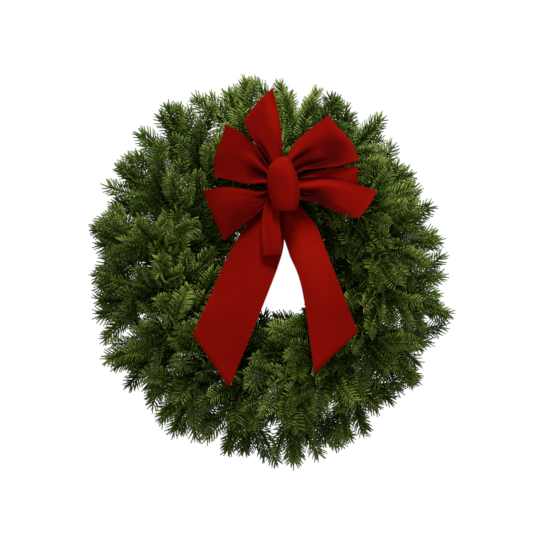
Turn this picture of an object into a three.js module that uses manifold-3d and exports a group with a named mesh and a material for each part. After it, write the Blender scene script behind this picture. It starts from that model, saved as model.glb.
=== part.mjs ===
// A fresh fir wreath on a wire ring, with a red velvet bow, hanging as on a door.
// Millimetres, +Z up, the front faces -Y. The origin is where a hook bears on the
// ring: the underside of the ring wire, at the top of the wreath.
import * as THREE from "three";
import { mergeVertices } from "three/addons/utils/BufferGeometryUtils.js";
import Module from "manifold-3d";

const wasm = await Module();
wasm.setup();

// Driving dimensions of the wreath
const SEED = 4127;
const RING_RADIUS = 152; // a 12 inch wreath ring
const RING_WIRE = 1.9; // radius of its wire
const HALF_WIDTH = 270; // needle tip to needle tip is twice this
const HALF_HEIGHT = 294;
const STATIONS = 16; // places round the ring where boughs are bound on
const BINDING_WIRE = 0.5;
const SEAT_GAP = 0.3; // clearance between pieces that touch

// Boughs, in three rows round the ring: the stem stub is bound to the ring at its seat,
// then leaves it slanting outward from the clockwise direction and rising forward, all
// in degrees. Tips are [share of the wreath's reach, clock degrees past the station,
// depth]; the first is the tip of the main stem, the others of its two side sprays.
const STATION_SHIFT = -10.25; // clock degrees; leaves the ring bare at the hook
const STUB_RADIUS = 2;
const STUB_START = -9; // clock degrees from the station
const STUB_END = 3.5;
const ROWS = {
  outer: {
    seat: 20, turn: 0, slant: 12, rise: 0,
    tips: [[0.97, 24, 30], [0.945, 11, 8], [0.9, 31, 56]],
  },
  face: {
    seat: 90, turn: 60, slant: 0, rise: 16,
    tips: [[0.7, 36, 102], [0.81, 22, 84], [0.555, 33, 102]],
  },
  inner: {
    seat: 160, turn: 0, slant: -20, rise: 0,
    tips: [[0.35, 36, 54], [0.44, 44, 84], [0.3, 22, 22]],
  },
};
const BRANCH_AT = [0, 0.3, 0.24]; // where each side spray leaves the bough's main stem
const BEND_AT = 0.42; // share of a spray's reach that it runs straight on before it bends
const RADIUS_SPREAD = 0.03; // random share of the reach, each way
const CLOCK_SPREAD = 2.5;
const DEPTH_SPREAD = 4;
const TRIES = 90; // random places for a spray before giving up
const WIDENING = 3; // how much wider than the first the last of them spread

// Needles: whorls of three, from the first to the last share of the way along a spray
const NEEDLE_LENGTH = 22;
const NEEDLE_WIDTH = 2.4;
const NEEDLE_LEAN = 55; // degrees off the twig
const TIP_LEAN = 34; // less at the twig's tip
const LEAN_SPREAD = 6;
const LENGTH_SPREAD = 0.12;
const SHORTENING = [1, 0.75]; // a needle with no room is swung aside, then shortened
const SWINGS = [0, 15, -15, 30, -30];
const WHORLS = 4;
const WHORL_TWIST = 8;
const MAIN_FIRST = 0.28;
const SIDE_FIRST = 0.34;
const LAST_WHORL = 0.93;

// The bow: ribbon 3 inches wide, its middle in front of the top of the ring
const RIBBON_WIDTH = 76;
const RIBBON_THICK = 1;
const NECK_WIDTH = 10; // the ribbon gathered under the centre loop
const NECK_SHARE = 0.12; // share of a loop's length that stays gathered
const HALF_GAP = 1.1; // from the middle of a pinched loop to each of its two layers
const BOW_X = 18;
const BOW_Z = 120;
const LAYER = { side: 84.8, upright: 88.5, rear: 92.2, front: 96.2 }; // pinched middles
const OPENING = 0.8; // how fast a loop widens from its neck, and puffs out, as powers
const PUFFING = 1.6;

const radians = THREE.MathUtils.degToRad;
const lerp = THREE.MathUtils.lerp;
const smooth = THREE.MathUtils.smoothstep;

// A point from its distance to the wreath's axis, its clock angle seen from the
// front, and its depth forward of the ring
function at(radius, clock, depth) {
  return new THREE.Vector3(radius * Math.sin(clock), -depth, radius * Math.cos(clock));
}

// The clockwise direction at a clock angle, rising forward by another angle
function clockwise(clock, rise) {
  return new THREE.Vector3(Math.cos(clock), -Math.tan(rise), -Math.sin(clock)).normalize();
}

// A point from its place across, its depth and its height, as the bow is laid out
function seen(x, z, depth) {
  return new THREE.Vector3(x, -depth, z);
}

// A repeatable number from -1 to 1 for each set of keys
function draw(...keys) {
  let state = SEED;
  for (const key of [...keys, 1, 2]) {
    state = (state * 16807 + key * 7919 + 12345) % 2147483647;
  }
  return (2 * state) / 2147483647 - 1;
}

// Solids and geometry
function solidOf(geometry) {
  geometry.deleteAttribute("normal");
  geometry.deleteAttribute("uv");
  const merged = mergeVertices(geometry, 1e-4);
  return new wasm.Manifold(
    new wasm.Mesh({
      numProp: 3,
      vertProperties: new Float32Array(merged.attributes.position.array),
      triVerts: new Uint32Array(merged.index.array),
    }),
  );
}

function geometryOf(solid) {
  const mesh = solid.getMesh();
  const geometry = new THREE.BufferGeometry();
  geometry.setAttribute("position", new THREE.BufferAttribute(mesh.vertProperties, mesh.numProp));
  geometry.setIndex(new THREE.BufferAttribute(mesh.triVerts, 1));
  const flat = geometry.toNonIndexed();
  flat.computeVertexNormals();
  return flat;
}

// The solid of a geometry whose faces may have been turned inwards by bending it
function outward(geometry) {
  const solid = solidOf(geometry);
  if (solid.volume() > 0) return solid;
  geometry.setIndex([...geometry.index.array].reverse());
  return solidOf(geometry);
}

function moveVertices(geometry, place) {
  const position = geometry.attributes.position;
  const point = new THREE.Vector3();
  for (let i = 0; i < position.count; i++) {
    point.fromBufferAttribute(position, i);
    const moved = place(point);
    position.setXYZ(i, moved.x, moved.y, moved.z);
  }
  return geometry;
}

// A closed bar along a curve, its radius given by a function of the way along; a bar
// whose last radius is 0 ends in a point
function bar(curve, radiusAt, sides, steps) {
  const { normals, binormals } = curve.computeFrenetFrames(steps, false);
  const shape = new THREE.CylinderGeometry(radiusAt(1) && 1, 1, 1, sides, steps);
  const geometry = moveVertices(shape, (p) => {
    const step = Math.round((p.y + 0.5) * steps);
    const scale = radiusAt(step / steps) / (Math.hypot(p.x, p.z) || 1);
    return curve
      .getPointAt(step / steps)
      .addScaledVector(normals[step], p.x * scale)
      .addScaledVector(binormals[step], -p.z * scale);
  });
  return solidOf(geometry);
}

// How far the foliage reaches at a clock angle: the wreath is a little taller than wide
function reach(clock) {
  return 1 / Math.hypot(Math.sin(clock) / HALF_WIDTH, Math.cos(clock) / HALF_HEIGHT);
}

// The foliage is pressed down behind the bow's loops and tails: each zone is
// [from x, z, to x, z, radius, share of the depth that is left]
const PRESSED = [
  [BOW_X, BOW_Z, BOW_X, BOW_Z, 128, 0.76],
  [BOW_X, BOW_Z, -81, -133, 42, 0.86],
  [BOW_X, BOW_Z, 97, -120, 42, 0.86],
];
const PRESS_EDGE = 30;

function pressed(point) {
  let share = 1;
  for (const [x0, z0, x1, z1, radius, least] of PRESSED) {
    const from = new THREE.Vector3(x0, 0, z0);
    const line = new THREE.Line3(from, new THREE.Vector3(x1, 0, z1 + 1e-6));
    const flat = new THREE.Vector3(point.x, 0, point.z);
    const near = line.closestPointToPoint(flat, true, new THREE.Vector3());
    const inside = 1 - smooth(near.distanceTo(flat), radius, radius + PRESS_EDGE);
    share = Math.min(share, lerp(1, least, inside));
  }
  point.y *= share;
  return point;
}

// Rods are straight stretches of wire, stem or needle, used to keep nodes clear of each other
const rods = [];

function rodsAlong(node, spray, curve, radiusAt, steps) {
  const points = curve.getSpacedPoints(steps);
  return points.slice(1).map((point, i) => ({
    node,
    spray,
    line: new THREE.Line3(points[i], point),
    radius: Math.max(radiusAt(i / steps), radiusAt((i + 1) / steps)),
  }));
}

// Clear of every rod but those that it may touch
function isClear(rod, mayTouch) {
  const room = SEAT_GAP + rod.radius;
  return rods.every(
    (other) =>
      mayTouch(other) || other.line.distanceSqToLine3(rod.line) > (room + other.radius) ** 2,
  );
}

// A bough's stem stub, lying along the ring on the side that its row is bound to
function stubCurve(station, row) {
  const seatDistance = RING_WIRE + STUB_RADIUS + SEAT_GAP;
  const radius = RING_RADIUS + seatDistance * Math.cos(radians(row.seat));
  const depth = seatDistance * Math.sin(radians(row.seat));
  const clock = stationClock(station);
  const start = clock + radians(STUB_START);
  const end = clock + radians(STUB_END);
  const half = (end - start) / 2;
  return new THREE.QuadraticBezierCurve3(
    at(radius, start, depth),
    at(radius / Math.cos(half), start + half, depth),
    at(radius, end, depth),
  );
}

function stationClock(station) {
  return (station * 2 * Math.PI) / STATIONS + radians(STATION_SHIFT);
}

// One spray's curve from its root to a random place near its tip; each later attempt
// may lie further off
function sprayCurve(root, heading, tipPlace, clock, keys, attempt) {
  const [share, degrees, depth] = tipPlace;
  const wider = 1 + WIDENING * (attempt / TRIES);
  const [outward, onward, forward] = [0, 1, 2].map((axis) => wider * draw(...keys, attempt, axis));
  const turn = clock + radians(degrees + CLOCK_SPREAD * onward);
  const out = reach(turn) * (share + RADIUS_SPREAD * Math.min(outward, 1));
  const tip = pressed(at(out, turn, depth + DEPTH_SPREAD * forward));
  const bend = root.clone().addScaledVector(heading, BEND_AT * root.distanceTo(tip));
  return new THREE.QuadraticBezierCurve3(root, bend, tip);
}

// A spray that crosses nothing: the first attempt that is clear of every other node
function clearSpray(node, spray, radiusAt, root, heading, tipPlace, clock, keys) {
  const sameNode = (other) => other.node === node;
  for (let attempt = 0; attempt < TRIES; attempt++) {
    const curve = sprayCurve(root, heading, tipPlace, clock, keys, attempt);
    const own = rodsAlong(node, spray, curve, radiusAt, CORE_RODS);
    const free = own.slice(1).every((rod) => isClear(rod, sameNode));
    if (free && bow.minGap(bar(curve, radiusAt, 4, CORE_RODS), 2) > SEAT_GAP) {
      rods.push(...own);
      return curve;
    }
  }
  throw new Error(node + ": no clear place for a spray");
}

// Ribbon: a thin sheet bent over a surface, which is a function of the way along (0 to 1)
// and the place across (-0.5 to 0.5)
const SMALL = 1e-4;

function sheetPoint(surface, along, across, offset) {
  const lengthwise = surface(along + SMALL, across).sub(surface(along - SMALL, across));
  const widthwise = surface(along, across + SMALL).sub(surface(along, across - SMALL));
  const normal = lengthwise.cross(widthwise).normalize();
  return surface(along, across).addScaledVector(normal, offset * RIBBON_THICK);
}

function openRibbon(surface, lengthSteps, widthSteps) {
  const geometry = new THREE.BoxGeometry(1, 1, 1, widthSteps, 1, lengthSteps);
  return outward(moveVertices(geometry, (p) => sheetPoint(surface, p.z + 0.5, p.x, p.y)));
}

// A ribbon whose ends meet: a thin rectangle turned round a circle, then bent
function closedRibbon(surface, lengthSteps, widthSteps) {
  const carrier = 10;
  const profile = [];
  for (const side of [1, -1]) {
    for (let i = 0; i <= widthSteps; i++) {
      profile.push(new THREE.Vector2(carrier + side / 2, side * (i / widthSteps - 0.5)));
    }
  }
  profile.push(profile[0].clone());
  const geometry = moveVertices(new THREE.LatheGeometry(profile, lengthSteps), (p) => {
    const step = Math.round((Math.atan2(p.x, p.z) / (2 * Math.PI)) * lengthSteps);
    return sheetPoint(surface, step / lengthSteps, p.y, Math.hypot(p.x, p.z) - carrier);
  });
  return outward(geometry);
}

// Bow loops, named by where they point. Each folds back along a line between two
// corners, [x, z, depth]; bulge is how far its front and back layers puff out.
const LOOPS = {
  upperLeft: { from: [-61, 204, 102], to: [-79, 129, 94], bulge: [15, 6] },
  lowerLeft: { from: [-93, 111, 90], to: [-63, 40, 98], bulge: [15, 6] },
  upperRight: { from: [86, 219, 84], to: [129, 154, 94], bulge: [15, 6] },
  lowerRight: { from: [156, 109, 90], to: [127, 71, 124], bulge: [10, 6] },
  side: { from: [127, 147, 79], to: [128, 72, 80], bulge: [6, 3] },
  top: { from: [6, 257, 78], to: [-33, 212, 116], bulge: [10, 6] },
  bottom: { from: [20, 20, 122], to: [-7, 18, 98], bulge: [8, 5] },
};

// A loop's surface: turn runs from 0 (pinched, front layer) through a quarter turn
// (the fold) to half a turn (pinched, back layer)
function loopPoint(loop, depth, neck, turn, across) {
  const way = Math.sin(turn);
  const pinch = seen(BOW_X, BOW_Z, depth);
  const foldMiddle = seen(...loop.from).lerp(seen(...loop.to), 0.5);
  const fold = seen(...loop.to).sub(seen(...loop.from));
  const axis = foldMiddle.clone().sub(pinch).normalize();
  const opened = Math.max(0, (way - NECK_SHARE) / (1 - NECK_SHARE)) ** OPENING;
  const width = neck.clone().lerp(fold, opened);
  const forward = width.clone().cross(axis).normalize();
  if (forward.y > 0) forward.negate();
  const puff = loop.bulge[Math.cos(turn) > 0 ? 0 : 1] * Math.max(0, way) ** PUFFING;
  return pinch
    .lerp(foldMiddle, way)
    .addScaledVector(width, across)
    .addScaledVector(forward, Math.cos(turn) * (HALF_GAP + puff));
}

const LOOP_STEPS = 12;
const CROWDING = 0.05; // spaces the steps closer at the pinch and at the fold
const DOWN = new THREE.Vector3(0, 0, -NECK_WIDTH); // how the necks are gathered
const LEFT = new THREE.Vector3(-NECK_WIDTH, 0, 0);

function loopTurn(along) {
  return Math.PI * (along - CROWDING * Math.sin(4 * Math.PI * along));
}

// Two loops made of one ribbon that is pinched in the middle
function pairOfLoops(first, second, depth, neck) {
  const surface = (along, across) => {
    const place = 2 * (along - Math.floor(along));
    return place <= 1
      ? loopPoint(first, depth, neck, loopTurn(place), across)
      : loopPoint(second, depth, neck, loopTurn(2 - place), across);
  };
  return closedRibbon(surface, 2 * LOOP_STEPS, 2);
}

function singleLoop(loop, depth, neck) {
  const surface = (along, across) => loopPoint(loop, depth, neck, loopTurn(along), across);
  return openRibbon(surface, LOOP_STEPS, 2);
}

// Tails: the two edges of each, from the gathered neck to the slanting cut, [x, z, depth]
const LEFT_TAIL = [
  [[13, 122, 81.6], [13, 106, 81.6], [-4, 86, 82.5], [-26, 60, 87], [-50, 22, 94], [-78, -38, 100],
    [-106, -96, 104]],
  [[23, 122, 81.6], [23, 106, 81.6], [23, 86, 82.5], [22, 60, 85], [21, 22, 89], [-8, -50, 97],
    [-56, -170, 106]],
];
const RIGHT_TAIL = [
  [[13, 122, 79.4], [13, 106, 79.4], [15, 88, 79], [17, 60, 77], [25, 20, 73], [48, -34, 82],
    [66, -149, 102]],
  [[23, 122, 79.4], [23, 106, 79.4], [38, 88, 84], [60, 61, 93], [78, 24, 101], [104, -36, 106],
    [127, -92, 108]],
];
const TAIL_STEPS = 9;
const FOLD_STEPS = 2;

// Both tails are one ribbon, folded at the top of its gathered neck
function tails() {
  const edges = [LEFT_TAIL, RIGHT_TAIL].map((tail) =>
    tail.map((edge) => new THREE.CatmullRomCurve3(edge.map((p) => seen(...p)))),
  );
  const between = ([one, other], way, across) =>
    one.getPoint(way).lerp(other.getPoint(way), across + 0.5);
  const steps = 2 * TAIL_STEPS + FOLD_STEPS;
  const halfGap = (LEFT_TAIL[0][0][2] - RIGHT_TAIL[0][0][2]) / 2;
  const surface = (along, across) => {
    const past = along * steps - TAIL_STEPS;
    if (past <= 0) return between(edges[0], -past / TAIL_STEPS, across);
    if (past >= FOLD_STEPS) return between(edges[1], (past - FOLD_STEPS) / TAIL_STEPS, across);
    const turn = (Math.PI * past) / FOLD_STEPS;
    const bend = seen(0, halfGap * Math.sin(turn), halfGap * (Math.cos(turn) - 1));
    return between(edges[0], 0, across).add(bend);
  };
  return openRibbon(surface, steps, 2);
}

// The centre loop hides the other necks: gathered behind, full width in front
const CENTRE = { x: 20.5, halfWidth: 23.8, front: 20, back: 9.8, depth: 109, taper: 45 };

function centreLoop() {
  const surface = (along, across) => {
    const turn = 2 * Math.PI * along;
    const frontness = (1 + Math.cos(turn)) / 2;
    const height = across * lerp(NECK_WIDTH, RIBBON_WIDTH, smooth(frontness, 0.02, 0.5));
    const narrowing = Math.sqrt(1 - (height / CENTRE.taper) ** 2);
    const forward = Math.cos(turn) > 0 ? CENTRE.front * narrowing : CENTRE.back;
    return seen(
      CENTRE.x + CENTRE.halfWidth * narrowing * Math.sin(turn),
      BOW_Z + height,
      CENTRE.depth + forward * Math.cos(turn),
    );
  };
  return closedRibbon(surface, 16, 5);
}

const RIBBONS = {
  bow_tails: tails(),
  bow_side_loop: singleLoop(LOOPS.side, LAYER.side, DOWN),
  bow_upright_loops: pairOfLoops(LOOPS.top, LOOPS.bottom, LAYER.upright, LEFT),
  bow_rear_loops: pairOfLoops(LOOPS.upperRight, LOOPS.lowerLeft, LAYER.rear, DOWN),
  bow_front_loops: pairOfLoops(LOOPS.lowerRight, LOOPS.upperLeft, LAYER.front, DOWN),
  bow_centre_loop: centreLoop(),
};
const bow = wasm.Manifold.union(Object.values(RIBBONS));

// Wires
const RING_STEPS = 48;

function ring() {
  const sides = 6;
  const profile = [];
  for (let i = 0; i <= sides; i++) {
    const angle = ((i + 0.5) / sides) * 2 * Math.PI - Math.PI / 2;
    const across = RING_RADIUS + RING_WIRE * Math.cos(angle);
    profile.push(new THREE.Vector2(across, RING_WIRE * Math.sin(angle)));
  }
  return outward(new THREE.LatheGeometry(profile, RING_STEPS));
}

function ringPath() {
  const points = [];
  for (let i = 0; i < RING_STEPS; i++) {
    points.push(at(RING_RADIUS, (i / RING_STEPS) * 2 * Math.PI, 0));
  }
  return new THREE.CatmullRomCurve3(points, true);
}

// Florist's wire: one tight turn round the ring and the stubs at each station, then a
// straight run behind the ring to the next
const WRAP = { from: -8, to: -0.5, halfWidth: 7.5, halfDepth: 4.9, middle: 2.2 };
const WRAP_STEPS = 8; // and one more for the run
const BINDING_RUN = 15.87; // stations that it covers, so that its two ends lie apart
const BINDING_STEPS = Math.round(BINDING_RUN * (WRAP_STEPS + 1));

class BindingPath extends THREE.Curve {
  getPoint(way, target = new THREE.Vector3()) {
    const place = (way * BINDING_STEPS) / (WRAP_STEPS + 1);
    const station = Math.floor(place);
    const step = (place - station) * (WRAP_STEPS + 1);
    const wrapped = Math.min(1, step / WRAP_STEPS);
    const run = Math.max(0, step - WRAP_STEPS) * (360 / STATIONS + WRAP.from - WRAP.to);
    const clock = stationClock(station) + radians(lerp(WRAP.from, WRAP.to, wrapped) + run);
    const turn = wrapped * 2 * Math.PI - Math.PI / 2;
    const radius = RING_RADIUS + WRAP.halfWidth * Math.cos(turn);
    return target.copy(at(radius, clock, WRAP.middle + WRAP.halfDepth * Math.sin(turn)));
  }

  // Equal steps along the curve are equal steps of its own count
  getUtoTmapping(way) {
    return way;
  }
}

// The bow's tie wire, [x, z, depth]: hooked behind the ring at both ends, through the
// centre loop and round all the gathered necks
const TIE_WIRE = 0.45;
const TIE_ROUTE = [
  [-21.8, 150.4, -4.1], [-21.2, 146.5, -4.1], [-20.6, 142.9, -1.5], [-20.6, 142.7, 4],
  [-17, 138, 30], [3, 115, 70], [9.7, 108.7, 79], [9.7, 108.7, 97], [12, 113, 100.4],
  [16.2, 121, 100.6], [20.4, 129, 100.4], [22.6, 133.2, 97], [22.6, 133.2, 79], [25, 135, 70],
  [33, 138.5, 30], [35.5, 139.7, 4], [35.5, 140, -1.5], [36.4, 143.4, -4.1], [37.4, 147.3, -4.1],
];
const TIE_STEPS = 36;

// Foliage: needles stand in whorls on a slim three-sided core. The core's rings come in
// pairs, a needle's thickness apart, and each face between the two rings of a pair is
// drawn out into a needle.
const CORE_SIDES = 3;
const FRAME_STEPS = 40;
const CORE_RODS = 8;
const BRANCH_ROOT = 0.8; // radius of a side twig where it starts, inside the main stem
const mainRadius = (way) => lerp(2.2, 1.6, way);
const sideRadius = (way) => lerp(1.5, 1.3, way);
const stemRadius = () => STUB_RADIUS;

function roundTwig(curve, way, angle) {
  const step = Math.round(way * FRAME_STEPS);
  curve.frames ??= curve.computeFrenetFrames(FRAME_STEPS, false);
  const side = curve.frames.normals[step].clone().multiplyScalar(Math.cos(angle));
  return side.addScaledVector(curve.frames.binormals[step], Math.sin(angle));
}

// The needle's tip: in its own place, or turned a little to one side, or else shorter
function needleTip(node, spray, curve, way, angle, keys) {
  const sameSpray = (other) => other.node === node && other.spray === spray;
  const root = curve.getPointAt(way);
  const twig = curve.getTangentAt(way);
  const lean = radians(lerp(NEEDLE_LEAN, TIP_LEAN, way ** 4) + LEAN_SPREAD * draw(...keys, 1));
  for (const scale of SHORTENING) {
    const length = NEEDLE_LENGTH * scale * (1 + LENGTH_SPREAD * draw(...keys, 2));
    for (const swing of SWINGS) {
      const direction = roundTwig(curve, way, angle + radians(swing)).multiplyScalar(Math.sin(lean));
      direction.addScaledVector(twig, Math.cos(lean));
      const tip = root.clone().addScaledVector(direction, length);
      const rod = { node, spray, line: new THREE.Line3(root, tip), radius: NEEDLE_WIDTH / 2 };
      if (tip.y > RING_WIRE || !isClear(rod, sameSpray)) continue;
      if (bow.minGap(rodSolid(rod), 1) < SEAT_GAP) continue;
      rods.push(rod);
      return tip;
    }
  }
  return null;
}

function rodSolid({ line, radius }) {
  const direction = line.delta(new THREE.Vector3());
  const length = direction.length();
  const geometry = new THREE.ConeGeometry(radius, length, 4).translate(0, length / 2, 0);
  const up = new THREE.Vector3(0, 1, 0);
  const turn = new THREE.Quaternion().setFromUnitVectors(up, direction.normalize());
  return solidOf(geometry.applyQuaternion(turn).translate(...line.start.toArray()));
}

// Rings are {way, turn}; a ring with tips starts a whorl that ends at the next ring
function spraySolid(curve, radiusAt, rings) {
  const points = [];
  const faces = [];
  const corner = (ring, side) => ring * CORE_SIDES + (side % CORE_SIDES);
  for (const { way, turn, radius } of rings) {
    for (let side = 0; side < CORE_SIDES; side++) {
      const out = roundTwig(curve, way, turn + (side * 2 * Math.PI) / CORE_SIDES);
      points.push(curve.getPointAt(way).addScaledVector(out, radius ?? radiusAt(way)));
    }
  }
  for (let i = 0; i < rings.length - 1; i++) {
    for (let side = 0; side < CORE_SIDES; side++) {
      const [a, b] = [corner(i, side), corner(i, side + 1)];
      const [c, d] = [corner(i + 1, side + 1), corner(i + 1, side)];
      const tip = rings[i].tips?.[side];
      if (tip) {
        const apex = points.push(tip) - 1;
        faces.push(a, b, apex, b, c, apex, c, d, apex, d, a, apex);
      } else {
        faces.push(a, b, c, a, c, d);
      }
    }
  }
  const last = rings.length - 1;
  const end = points.push(curve.getPointAt(1)) - 1;
  for (let side = 0; side < CORE_SIDES; side++) {
    faces.push(corner(last, side), corner(last, side + 1), end);
  }
  faces.push(0, 2, 1);
  const geometry = new THREE.BufferGeometry().setFromPoints(points).setIndex(faces);
  return solidOf(geometry);
}

// The rings of one spray: plain ones where the stem is bare, then its whorls
function whorledRings(node, spray, curve, bareRings, first, keys) {
  const rings = [...bareRings];
  const thickness = NEEDLE_WIDTH / curve.getLength();
  for (let n = 0; n < WHORLS; n++) {
    const way = lerp(first, LAST_WHORL, n / (WHORLS - 1));
    const turn = n * (radians(WHORL_TWIST) - Math.PI / CORE_SIDES);
    const tips = [];
    for (let side = 0; side < CORE_SIDES; side++) {
      const angle = turn + ((side + 0.5) * 2 * Math.PI) / CORE_SIDES;
      tips.push(needleTip(node, spray, curve, way, angle, [...keys, spray, n, side]));
    }
    rings.push({ way: way - thickness / 2, turn, tips }, { way: way + thickness / 2, turn });
  }
  return rings;
}

// The stub and the main spray are one stem, bare along the stub
function mainStem({ node, row, stub, sprays, keys }) {
  const stem = new THREE.CurvePath();
  stem.add(stub);
  stem.add(sprays[0]);
  const stubShare = stub.getLength() / stem.getLength();
  const turn = radians(row.turn);
  const bare = [0, 1 / 3, 2 / 3, 1].map((share) => ({ way: share * stubShare, turn }));
  const rings = whorledRings(node, 0, stem, bare, lerp(stubShare, 1, MAIN_FIRST), keys);
  return spraySolid(stem, mainRadius, rings);
}

function sideSpray({ node, sprays, keys }, spray) {
  const root = [{ way: 0, turn: 0, radius: BRANCH_ROOT }];
  const rings = whorledRings(node, spray, sprays[spray], root, SIDE_FIRST, keys);
  return spraySolid(sprays[spray], sideRadius, rings);
}

function bough(made) {
  return wasm.Manifold.union([mainStem(made), sideSpray(made, 1), sideSpray(made, 2)]);
}

// All the stubs are laid first, then each bough's sprays wherever they cross nothing
function layOutBoughs() {
  const boughs = [];
  for (let station = 0; station < STATIONS; station++) {
    Object.entries(ROWS).forEach(([name, row], rowIndex) => {
      const node = `bough_${name}_${String(station + 1).padStart(2, "0")}`;
      const stub = stubCurve(station, row);
      rods.push(...rodsAlong(node, 0, stub, stemRadius, 3));
      boughs.push({ node, row, stub, sprays: [], station, keys: [station, rowIndex] });
    });
  }
  for (const { node, row, stub, sprays, station, keys } of boughs) {
    const clock = stationClock(station);
    const leaving = clock + radians(STUB_END - row.slant);
    row.tips.forEach((tip, i) => {
      const root = i ? sprays[0].getPoint(BRANCH_AT[i]) : stub.getPoint(1);
      const heading = i ? sprays[0].getTangent(BRANCH_AT[i]) : clockwise(leaving, radians(row.rise));
      const radiusAt = i ? sideRadius : mainRadius;
      sprays.push(clearSpray(node, i, radiusAt, root, heading, tip, clock, [...keys, i]));
    });
  }
  return boughs;
}

// Materials
const finish = (color, roughness, metalness = 0) =>
  new THREE.MeshStandardMaterial({ color, roughness, metalness });
const MATERIALS = {
  ring: finish(0x3c4038, 0.45, 0.9),
  wire: finish(0x2f4a2c, 0.5, 0.6),
  foliage: finish(0x3f5a1c, 0.55),
  velvet: finish(0x8c0d0a, 0.9),
};

const wreath = new THREE.Group();
wreath.position.z = -(RING_RADIUS - RING_WIRE);

function add(name, solid, material) {
  const mesh = new THREE.Mesh(geometryOf(solid), material);
  mesh.name = name;
  wreath.add(mesh);
}

function addBow() {
  for (const [name, solid] of Object.entries(RIBBONS)) add(name, solid, MATERIALS.velvet);
}

function addWires() {
  add("wire_ring", ring(), MATERIALS.ring);
  const binding = new BindingPath();
  add("binding_wire", bar(binding, () => BINDING_WIRE, 3, BINDING_STEPS), MATERIALS.wire);
  const tie = new THREE.CatmullRomCurve3(TIE_ROUTE.map((p) => seen(...p)));
  add("bow_tie_wire", bar(tie, () => TIE_WIRE, 4, TIE_STEPS), MATERIALS.wire);
  rods.push(...rodsAlong("wire_ring", 0, ringPath(), () => RING_WIRE, RING_STEPS));
  rods.push(...rodsAlong("binding_wire", 0, binding, () => BINDING_WIRE, BINDING_STEPS));
  rods.push(...rodsAlong("bow_tie_wire", 0, tie, () => TIE_WIRE, TIE_STEPS));
}

function addBoughs() {
  for (const made of layOutBoughs()) add(made.node, bough(made), MATERIALS.foliage);
}

addBow();
addWires();
addBoughs();

const part = new THREE.Group();
part.add(wreath);
export default part;
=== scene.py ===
# A fresh fir wreath with a red velvet bow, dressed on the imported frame: needles, twigs
# and buds on every bough, pleated ribbon and smooth wire. Lengths are in millimetres
# from the middle of the ring, with the front facing -Y, until a mesh is made from them.
import math

import bpy
import numpy as np
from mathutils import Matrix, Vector
from mathutils.bvhtree import BVHTree


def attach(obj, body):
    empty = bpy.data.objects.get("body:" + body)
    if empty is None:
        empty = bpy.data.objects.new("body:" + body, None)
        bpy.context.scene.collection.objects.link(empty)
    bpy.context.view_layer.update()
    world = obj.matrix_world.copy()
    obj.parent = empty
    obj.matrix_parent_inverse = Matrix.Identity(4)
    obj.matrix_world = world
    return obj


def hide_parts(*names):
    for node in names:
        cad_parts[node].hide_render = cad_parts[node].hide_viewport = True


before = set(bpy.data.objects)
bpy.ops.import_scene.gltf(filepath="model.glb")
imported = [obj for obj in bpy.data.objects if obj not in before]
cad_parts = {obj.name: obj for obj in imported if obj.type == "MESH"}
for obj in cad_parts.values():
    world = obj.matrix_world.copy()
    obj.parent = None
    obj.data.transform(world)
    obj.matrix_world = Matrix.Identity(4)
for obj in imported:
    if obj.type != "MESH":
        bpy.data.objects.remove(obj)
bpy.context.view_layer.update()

MM = 0.001

# The wreath's driving dimensions, as in the frame's source
SEED = 4127
RING_RADIUS = 152
RING_WIRE = 1.9
HOOK_DROP = RING_RADIUS - RING_WIRE  # the frame's origin lies this far above the middle
HALF_WIDTH = 270
HALF_HEIGHT = 294
# How far the sprays reach past the ring all round: clock in degrees, share of the even reach
OUTLINE = (
    (0, 1.1), (12, 0.92), (23, 1.1), (31, 0.9), (40, 1), (50, 0.84), (60, 0.84), (70, 0.98), (80, 0.93),
    (86, 1.04), (97, 0.94), (105, 1.1), (116, 1), (140, 0.98), (147, 0.93), (152, 1.04), (160, 1.08),
    (170, 0.97), (180, 1.04), (191, 0.9), (200, 1), (215, 1), (226, 0.87), (236, 1.02), (246, 1.07),
    (256, 0.95), (270, 1), (275, 1.06), (281, 0.96), (286, 1.06), (295, 0.93), (303, 1.03), (325, 1),
    (340, 1.04), (350, 0.92), (355, 1.08),
)
STATIONS = 16  # places where boughs are bound on
STATION_SHIFT = -10.25
SEAT_GAP = 0.3
STUB_RADIUS = 2  # of the bare stem that lies on the ring
STUB_START = -9
STUB_END = 3.5
# The boughs of a station: where each sits round the ring's wire, which way it leaves it, and
# where its sprays end, as a share of the reach, degrees clockwise and millimetres forward
ROWS = {
    "outer": {"seat": 20, "slant": 12, "rise": 0, "tips": ((0.97, 24, 30), (0.945, 11, 8), (0.9, 31, 56))},
    "face": {"seat": 90, "slant": 0, "rise": 16, "tips": ((0.7, 36, 102), (0.81, 22, 84), (0.555, 33, 102))},
    "inner": {"seat": 160, "slant": -20, "rise": 0, "tips": ((0.35, 36, 54), (0.44, 44, 84), (0.3, 22, 22))},
}
BRANCH_AT = (0, 0.3, 0.24)
BEND_AT = 0.42
RADIUS_SPREAD = 0.03
CLOCK_SPREAD = 2.5
DEPTH_SPREAD = 4
TRIES = 90  # places that the frame's source tries for a spray
WIDENING = 3
BINDING_WIRE = 0.5
TIE_WIRE = 0.45

# The bow
RIBBON_WIDTH = 76
RIBBON_HALF_THICK = 0.42
SELVEDGE = 0.16  # how much thicker the ribbon is at its woven edges
NECK_WIDTH = 10
HALF_GAP = 1.1  # between the middle of a loop and each of its layers
BOW_X = 18
BOW_Z = 120
# How far forward the necks of the loops lie, and how late their layers part
LAYER = {"side": 84.8, "upright": 88.5, "rear": 92.2, "front": 96.2}
PUFFING = 1.6

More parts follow.
